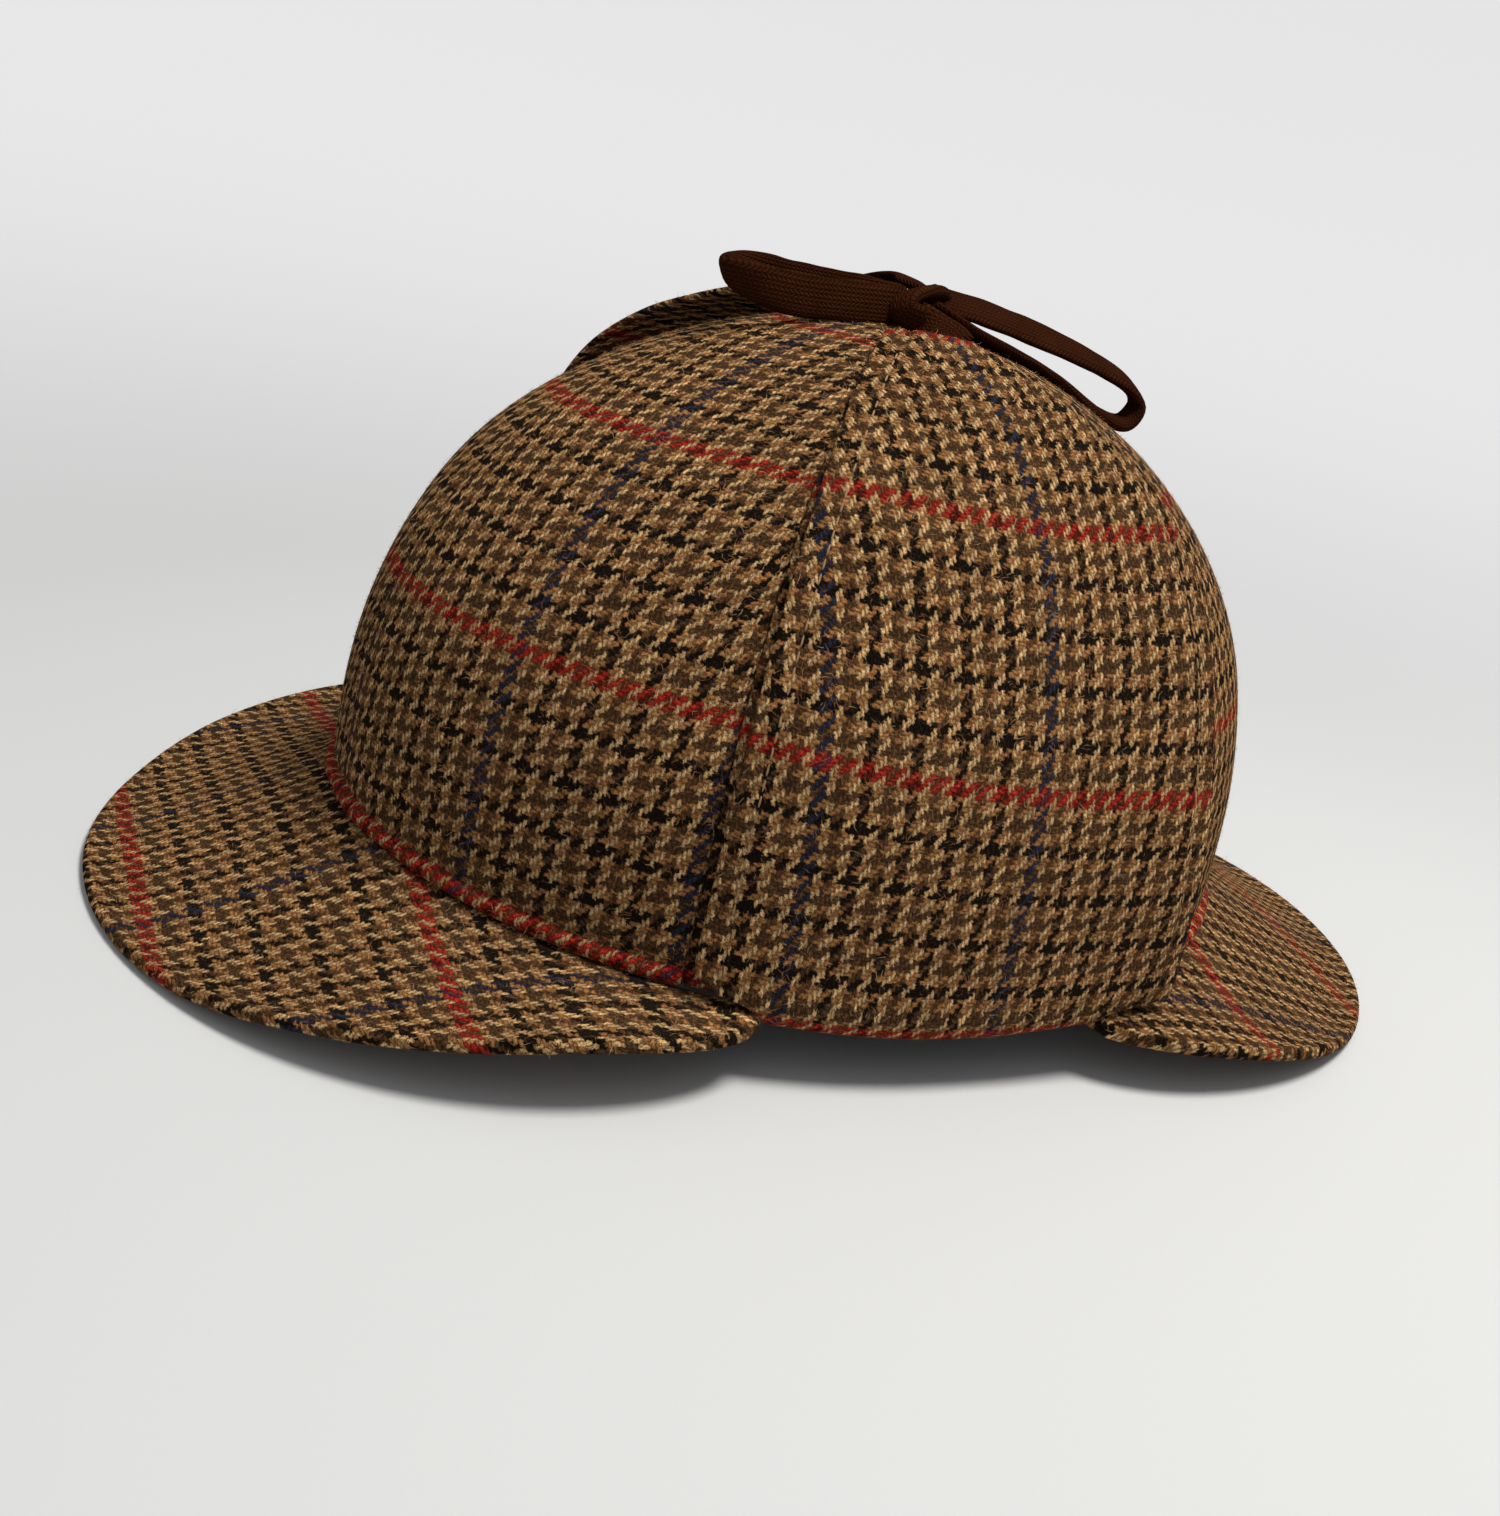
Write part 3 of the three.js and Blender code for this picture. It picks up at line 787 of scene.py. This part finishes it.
def gore_piece(gore, material, hair):
    """One gore of the crown, with dipped seams at its sides and the rolled hem at its foot."""
    climbs = [climb_at(h) for h in GORE_LOW_HEIGHTS]
    climbs += list(np.linspace(climb_at(GORE_CLIMB_FROM), TOP_CLIMB, GORE_CLIMB_ROWS))
    middle = np.zeros((len(climbs), GORE_COLUMNS, 3))
    swell = np.zeros(middle.shape[:2])
    start = math.radians(gore["start"])
    span = math.radians(GORE_ANGLE)
    for row, climb in enumerate(climbs):
        width = (dome_point(start + span, climb) - dome_point(start, climb)).length * GORE_ARC
        height = CROWN_HEIGHT * math.sin(climb) ** (2 / HEIGHT_POWER)
        for column, share in enumerate(shares(GORE_COLUMNS, width, GORE_EDGE)):
            angle = start + span * share
            dip = SEAM_DIP * abs(2 * share - 1) ** SEAM_SHARPNESS
            point = dome_point(angle, climb)
            off = -GORE_WALL / 2 - dip + ripple(point, **GORE_RIPPLE)
            middle[row, column] = point + dome_normal(angle, climb) * off
            bead = bead_share(math.degrees(angle), gore)
            middle[row, column, 2] -= bead * BEAD_DROOP * max(0.0, 1 - height / BEAD_MIDDLE)
            swell[row, column] = bead * bead_swell(height)
    centre = GORE_COLUMNS // 2

    def lay(outer, inset):
        up = run_lengths(outer[:, centre])
        roll = up[GORE_LOW_HEIGHTS.index(BEAD_TOP)] if gore["bead_to"] else 0.0
        up = np.where(up < roll, up * BEAD_STRETCH, up - roll * (1 - BEAD_STRETCH))
        red_at = up[GORE_LOW_HEIGHTS.index(BEAD_MIDDLE)]
        uv = np.zeros(outer.shape[:2] + (2,))
        for row in range(len(outer)):
            across = run_lengths(outer[row])
            uv[row, :, 0] = across - across[centre] - gore["blue_at"]
            uv[row, :, 1] = up[row] - red_at
        return uv

    def same_inside(uv):
        return uv

    obj, face = cloth("gore_" + gore["name"], middle, GORE_WALL, swell, lay, same_inside, material)
    dress(obj, "crown_panel_" + gore["name"])
    if gore["name"].startswith(("front", "back")):
        hair_piece("gore_hair_" + gore["name"], face, hair, gore["start"])


# The peaks

def peak_fall(across):
    """Share of the way down from the rim to the peak's edge."""
    return 1 - (1 - min(1.0, across / PEAK_FALL_WIDTH)) ** PEAK_FALL_POWER


def peak_piece(peak, material, hair):
    """A peak that falls from the rim to the floor, and rises again towards its two ends."""
    inner_across = list(np.linspace(PEAK_INNER_ACROSS, 0.0, PEAK_INNER_ROWS))
    across_rows = PEAK_EDGE_ACROSS + inner_across + [-1.0]
    middle = np.zeros((len(across_rows), PEAK_COLUMNS, 3))
    for row, across in enumerate(across_rows):
        for column in range(PEAK_COLUMNS):
            share = 2 * column / (PEAK_COLUMNS - 1) - 1
            away = abs(share)
            angle = math.radians(peak["middle"] + share * peak["end"])
            full = (1 - away ** peak["fullness"]) ** (1 / peak["corner"])
            span = PEAK_END_WIDTH + (PEAK_WIDTH - PEAK_END_WIDTH) * full
            out = across * span if across >= 0 else -PEAK_ROOT
            rim = dome_point(angle, 0.0) + dome_normal(angle, 0.0) * out
            root = rim_z(angle) - PEAK_ROOT_DROP
            lift = smooth(peak["rest_end"], 1.0, away)
            edge = PEAK_THICKNESS + (root - PEAK_END_DROP - PEAK_THICKNESS) * lift
            edge += peak["curl"] * smooth(*PEAK_CURL_STARTS, away) * (1 - smooth(*PEAK_CURL_ENDS, away))
            z = root + (edge - root) * peak_fall(max(0.0, across))
            waver = ripple((rim.x, rim.y, PEAK_RIPPLE_HEIGHT), **PEAK_RIPPLE) * max(0.0, across)
            waver *= smooth(0.0, PEAK_STEADY_EDGE, 1 - across)
            middle[row, column] = (rim.x, rim.y, z - PEAK_THICKNESS / 2 + waver)

    def lay(outer, inset):
        # Round the edge the cloth runs on past its plan
        outward = middle[0, :, :2] - middle[PEAK_OUTWARD_ROW, :, :2]
        outward /= np.linalg.norm(outward, axis=1, keepdims=True)
        past = PEAK_THICKNESS / 2 * (np.arcsin(1 - inset) - (1 - inset))
        flat = middle[..., :2] + outward[None] * past[..., None]
        u = (flat[..., 0] - peak["blue_x"]) * BLUE_SPACING / PEAK_BLUE_SPACING
        v = (flat[..., 1] - peak["red_y"]) * RED_SPACING / PEAK_RED_SPACING
        v -= peak["end_ease"] * np.maximum(0.0, PEAK_EASE_FROM - np.abs(flat[..., 1]))
        return np.stack([u, v], axis=-1)

    def under(uv):
        return 2 * uv[:1] - uv

    swell = np.zeros(middle.shape[:2])
    obj, face = cloth("peak_cloth_" + peak["name"], middle, PEAK_THICKNESS, swell, lay, under, material)
    dress(obj, "peak_" + peak["name"])
    hair_piece("peak_hair_" + peak["name"], face[:-1], hair, int(peak["end"]))


# The ear flaps

def flap_column(place, key):
    """A column of the flap's table, at a row number with a fraction."""
    return catmull([row[key] for row in FLAP_ROWS], place)


def flap_point(place, share, stand_off, off):
    """A point of the left flap's middle, at a row number and a share of its width."""
    front = flap_column(place, "front")
    degrees = front + share * (flap_column(place, "back") - front)
    lift = flap_column(place, "lift") * stand_off * (1 - share) ** FLAP_LIFT_FADE
    flare = max(0.0, (share - FLAP_FLARE_FROM) / (1 - FLAP_FLARE_FROM)) ** 2
    off += flap_column(place, "off") + lift
    off += flap_column(place, "flare") * flare
    return crown_point(degrees, min(FLAP_TOP, flap_column(place, "height")), off)


def flap_piece(flap, material, thread, hair):
    """An ear flap with its hairs and stitches; the right one is mirrored and stands off more."""
    last = len(FLAP_ROWS) - 1
    tip = [last - step for step in FLAP_TIP_STEPS]
    places = list(np.linspace(0, last - FLAP_TIP_STARTS, last * FLAP_STEPS)) + tip
    middle = np.zeros((len(places), FLAP_COLUMNS, 3))
    thickness = np.zeros(middle.shape[:2])
    swell = np.zeros(middle.shape[:2])
    spread = np.zeros(middle.shape[:2])
    for row, place in enumerate(places):
        sewn_down = smooth(*FLAP_EDGE_ROWS, place)
        ends = [flap_point(place, share, 0, 0) for share in (0.0, 1.0)]
        width = (ends[1] - ends[0]).length * FLAP_ARC
        spread[row] = shares(FLAP_COLUMNS, width, FLAP_EDGE)
        for column, share in enumerate(spread[row]):
            point = flap_point(place, share, flap["stand_off"], 0)
            hug = (1 - smooth(0.0, FLAP_EDGE_WIDTH, min(share, 1 - share) * width)) * sewn_down
            puff = ripple(point, **FLAP_RIPPLE) * smooth(*FLAP_RIPPLE_ROWS, place) - hug * FLAP_EDGE_HUG
            middle[row, column] = flap_point(place, share, flap["stand_off"], puff)
            thickness[row, column] = FLAP_THICKNESS * (1 - FLAP_EDGE_THIN * hug)
        run = run_lengths(middle[row])
        from_edge = np.minimum(run, run[-1] - run)
        groove = np.exp(-((from_edge - FLAP_STITCH_IN) / FLAP_GROOVE_WIDTH) ** 2)
        swell[row] = -FLAP_GROOVE_DEPTH * groove * sewn_down
    if flap["side"] < 0:
        middle = middle[:, ::-1].copy()
        middle[..., 0] *= -1
        swell, thickness = swell[:, ::-1].copy(), thickness[:, ::-1].copy()
    centre = FLAP_COLUMNS // 2
    fold_row = int(np.argmin(np.abs(np.array(places) - FLAP_FOLD_ROW)))

    def lay(outer, inset):
        up = run_lengths(outer[:, centre])
        up -= up[fold_row]
        uv = np.zeros(outer.shape[:2] + (2,))
        for row in range(len(outer)):
            across = run_lengths(outer[row])
            above = smooth(0.0, FLAP_GRAIN_RISE, up[row])
            front, back = (flap_column(places[row], key) for key in ("front", "back"))
            share = (FLAP_MIDDLE - front) / (back - front)
            plumb = np.interp(share if flap["side"] > 0 else 1 - share, spread[row], across)
            uv[row, :, 0] = across - plumb - flap["blue_at"]
            tilt = FLAP_GRAIN_TILT * flap["side"] * uv[row, :, 0]
            eased = FLAP_FOLD_EASE * smooth(*FLAP_FOLD_EASED, up[row])
            eased += FLAP_TOP_EASE * max(0.0, up[row] - RED_SPACING)
            uv[row, :, 1] = up[row] + tilt * above - eased
        return uv

    def turn_under(uv):
        back = uv.copy()
        back[:, :centre, 0] = 2 * uv[:, :1, 0] - uv[:, :centre, 0]
        back[:, centre:, 0] = 2 * uv[:, -1:, 0] - uv[:, centre:, 0]
        return back

    obj, face = cloth("flap_" + flap["name"], middle, thickness, swell, lay, turn_under, material)
    dress(obj, "ear_flap_" + flap["name"])
    hair_piece("flap_hair_" + flap["name"], face, hair, flap["seed"])
    sewn = slice(FLAP_STITCH_ROW * FLAP_STEPS, -len(FLAP_TIP_STEPS))
    columns = (FLAP_STITCH_COLUMN, FLAP_COLUMNS - 1 - FLAP_STITCH_COLUMN)
    stitch_piece("flap_stitches_" + flap["name"], [face[sewn, column] for column in columns], thread)


def stitch_piece(name, lines, material):
    """Rows of short stitches laid along lines of points."""
    points, faces, uvs = [], [], []
    for line in lines:
        run = run_lengths(line)
        for start in np.arange(STITCH_PITCH, run[-1] - STITCH_PITCH, STITCH_PITCH):
            first, last = (Vector([np.interp(place, run, line[:, k]) for k in range(3)])
                           for place in (start, start + STITCH_LENGTH))
            along = (last - first).normalized()
            side = along.cross(Vector(STITCH_UPRIGHT)).normalized()
            up = side.cross(along)
            base = len(points)
            for t, girth in STITCH_RINGS:
                for k in range(STITCH_SIDES):
                    turn = 2 * math.pi * k / STITCH_SIDES
                    out = (side * math.cos(turn) + up * math.sin(turn)) * STITCH_RADIUS * girth
                    points.append(first.lerp(last, t) + out)
                    uvs.append((start + t * STITCH_LENGTH, turn))
            faces += tube_faces(base, len(STITCH_RINGS), STITCH_SIDES)
    obj = make_object(name, points, faces, uvs, material)
    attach(obj, "root")


def tube_faces(base, rings, sides):
    """Faces of a closed tube of rings."""
    faces = []
    for ring in range(rings - 1):
        a = base + ring * sides
        for k in range(sides):
            n = (k + 1) % sides
            faces.append([a + k, a + n, a + sides + n, a + sides + k])
    faces.append([base + k for k in reversed(range(sides))])
    faces.append([base + (rings - 1) * sides + k for k in range(sides)])
    return faces


# The bow

def curve_points(stations, step):
    """Even points on a smooth curve through stations."""
    fine = []
    for part in range(len(stations) - 1):
        for t in np.linspace(0, 1, CURVE_SAMPLES, endpoint=False):
            fine.append([catmull([s[k] for s in stations], part + t) for k in range(3)])
    fine = np.array(fine + [list(stations[-1])])
    run = run_lengths(fine)
    even = np.linspace(0, run[-1], max(CURVE_LEAST_POINTS, int(run[-1] / step)))
    return np.stack([np.interp(even, run, fine[:, k]) for k in range(3)], axis=1)


def between(values, share):
    """Smooth value of a list of number groups, at a share of its length."""
    if len(values) == 1:
        return Vector(values[0])
    return catmull([Vector(value) for value in values], share * (len(values) - 1))


def tape_shape(path, across, width, thickness, girth=((1, 1),)):
    """A flat tape with soft edges; across and girth give its turn and fullness on the way."""
    run = run_lengths(path)
    tangents = np.gradient(path, axis=0)
    points, uvs = [], []
    for number, centre in enumerate(path):
        along = Vector(tangents[number]).normalized()
        share = number / (len(path) - 1)
        wide = between(across, share)
        wide = (wide - along * wide.dot(along)).normalized()
        thick = wide.cross(along)
        full = 1 + ripple((run[number], width, thickness), **TAPE_RIPPLE)
        broad, stout = between(girth, share)
        for k in range(TAPE_SIDES):
            turn = 2 * math.pi * k / TAPE_SIDES
            c, s = math.cos(turn), math.sin(turn)
            x = width / 2 * full * broad * math.copysign(abs(c) ** TAPE_SIDE_ROUND, c)
            y = thickness / 2 * stout * math.copysign(abs(s) ** TAPE_FACE_ROUND, s)
            points.append(Vector(centre) + wide * x + thick * y)
            uvs.append((x + y, run[number]))
    return points, tube_faces(0, len(path), TAPE_SIDES), uvs


def tape_piece(row, material):
    """A tape along its route."""
    stations = [tuple(crown_point(s["angle"], s["height"], s["off"])) if isinstance(s, dict) else s
                for s in row["route"]]
    path = curve_points(stations, TAPE_STEP)
    width, girth = row.get("width", TAPE_WIDTH), row.get("girth", [(1, 1)])
    shape = tape_shape(path, row["across"], width, TAPE_THICKNESS, girth)
    obj = make_object("tape_" + row["name"], *shape, material)
    dress(obj, row["name"])


def knot_piece(material):
    """The knot: a tape wrapped up and over a soft core, where all the strands meet."""
    path = curve_points(KNOT_ROUTE, TAPE_STEP)
    points, faces, uvs = tape_shape(path, KNOT_ACROSS, KNOT_WIDTH, KNOT_THICKNESS)
    base = len(points)
    for ring in range(KNOT_CORE_RINGS):
        tilt = math.pi * (ring + 0.5) / KNOT_CORE_RINGS
        for k in range(TAPE_SIDES):
            turn = 2 * math.pi * k / TAPE_SIDES
            place = (math.sin(tilt) * math.cos(turn), math.sin(tilt) * math.sin(turn), math.cos(tilt))
            swell = 1 + ripple(place, **KNOT_CORE_RIPPLE)
            points.append([a + h * p * swell for a, h, p in zip(KNOT_CORE_AT, KNOT_CORE_HALF, place)])
            uvs.append((KNOT_CORE_RADIUS * tilt, KNOT_CORE_RADIUS * turn))
    faces += [face[::-1] for face in tube_faces(base, KNOT_CORE_RINGS, TAPE_SIDES)]
    obj = make_object("tape_bow_knot", points, faces, uvs, material)
    dress(obj, "bow_knot")


# The stage

def make_camera():
    camera = bpy.data.cameras.new("camera")
    camera.sensor_width = SENSOR_MM
    camera.lens = FOCAL_PX / PHOTO_HEIGHT_PX * SENSOR_MM
    camera.clip_start = CAMERA_CLIP_M
    obj = bpy.data.objects.new("camera", camera)
    columns = (CAMERA_RIGHT, CAMERA_UP, CAMERA_BACK)
    turn = Matrix([[column[k] for column in columns] for k in range(3)]).to_4x4()
    obj.matrix_world = Matrix.Translation(Vector(CAMERA_AT) * MM) @ turn
    bpy.context.scene.collection.objects.link(obj)
    bpy.context.scene.camera = obj


def make_floor():
    bpy.ops.mesh.primitive_circle_add(vertices=FLOOR_SIDES, radius=FLOOR_RADIUS, fill_type="NGON")
    floor = bpy.context.object
    floor.name = "floor"
    floor.data.materials.append(floor_material())


def area_light(row):
    light = bpy.data.lights.new(row["name"], "AREA")
    light.shape = "DISK"
    light.size = row["size"]
    light.energy = row["power"]
    light.color = row["colour"]
    obj = bpy.data.objects.new(row["name"], light)
    obj.location = row["at"]
    obj.rotation_euler = (Vector(row["target"]) - Vector(row["at"])).to_track_quat("-Z", "Y").to_euler()
    bpy.context.scene.collection.objects.link(obj)


def make_world():
    """Soft light from all round, brightest near the horizon."""
    world = bpy.data.worlds.new("studio")
    bpy.context.scene.world = world
    world.use_nodes = True
    nodes, links = world.node_tree.nodes, world.node_tree.links
    way = nodes.new("ShaderNodeTexCoord")
    split = nodes.new("ShaderNodeSeparateXYZ")
    ramp = nodes.new("ShaderNodeValToRGB")
    while len(ramp.color_ramp.elements) < len(WORLD_STOPS):
        ramp.color_ramp.elements.new(0.5)
    for element, stop in zip(ramp.color_ramp.elements, WORLD_STOPS):
        element.position = stop["height"]
        element.color = (stop["light"], stop["light"], stop["light"], 1.0)
    links.new(way.outputs["Generated"], split.inputs[0])
    links.new(split.outputs[2], ramp.inputs[0])
    links.new(ramp.outputs[0], nodes["Background"].inputs["Color"])


make_camera()
make_floor()
make_world()
for row in LIGHTS:
    area_light(row)
bpy.context.scene.view_settings.view_transform = "Standard"
tweed = tweed_material()
tape = tape_material()
thread = stitch_material()
hair = hair_material()
for row in TAPES:
    tape_piece(row, tape)
knot_piece(tape)
for gore in GORES:
    gore_piece(gore, tweed, hair)
for peak in PEAKS:
    peak_piece(peak, tweed, hair)
for flap in FLAPS:
    flap_piece(flap, tweed, thread, hair)
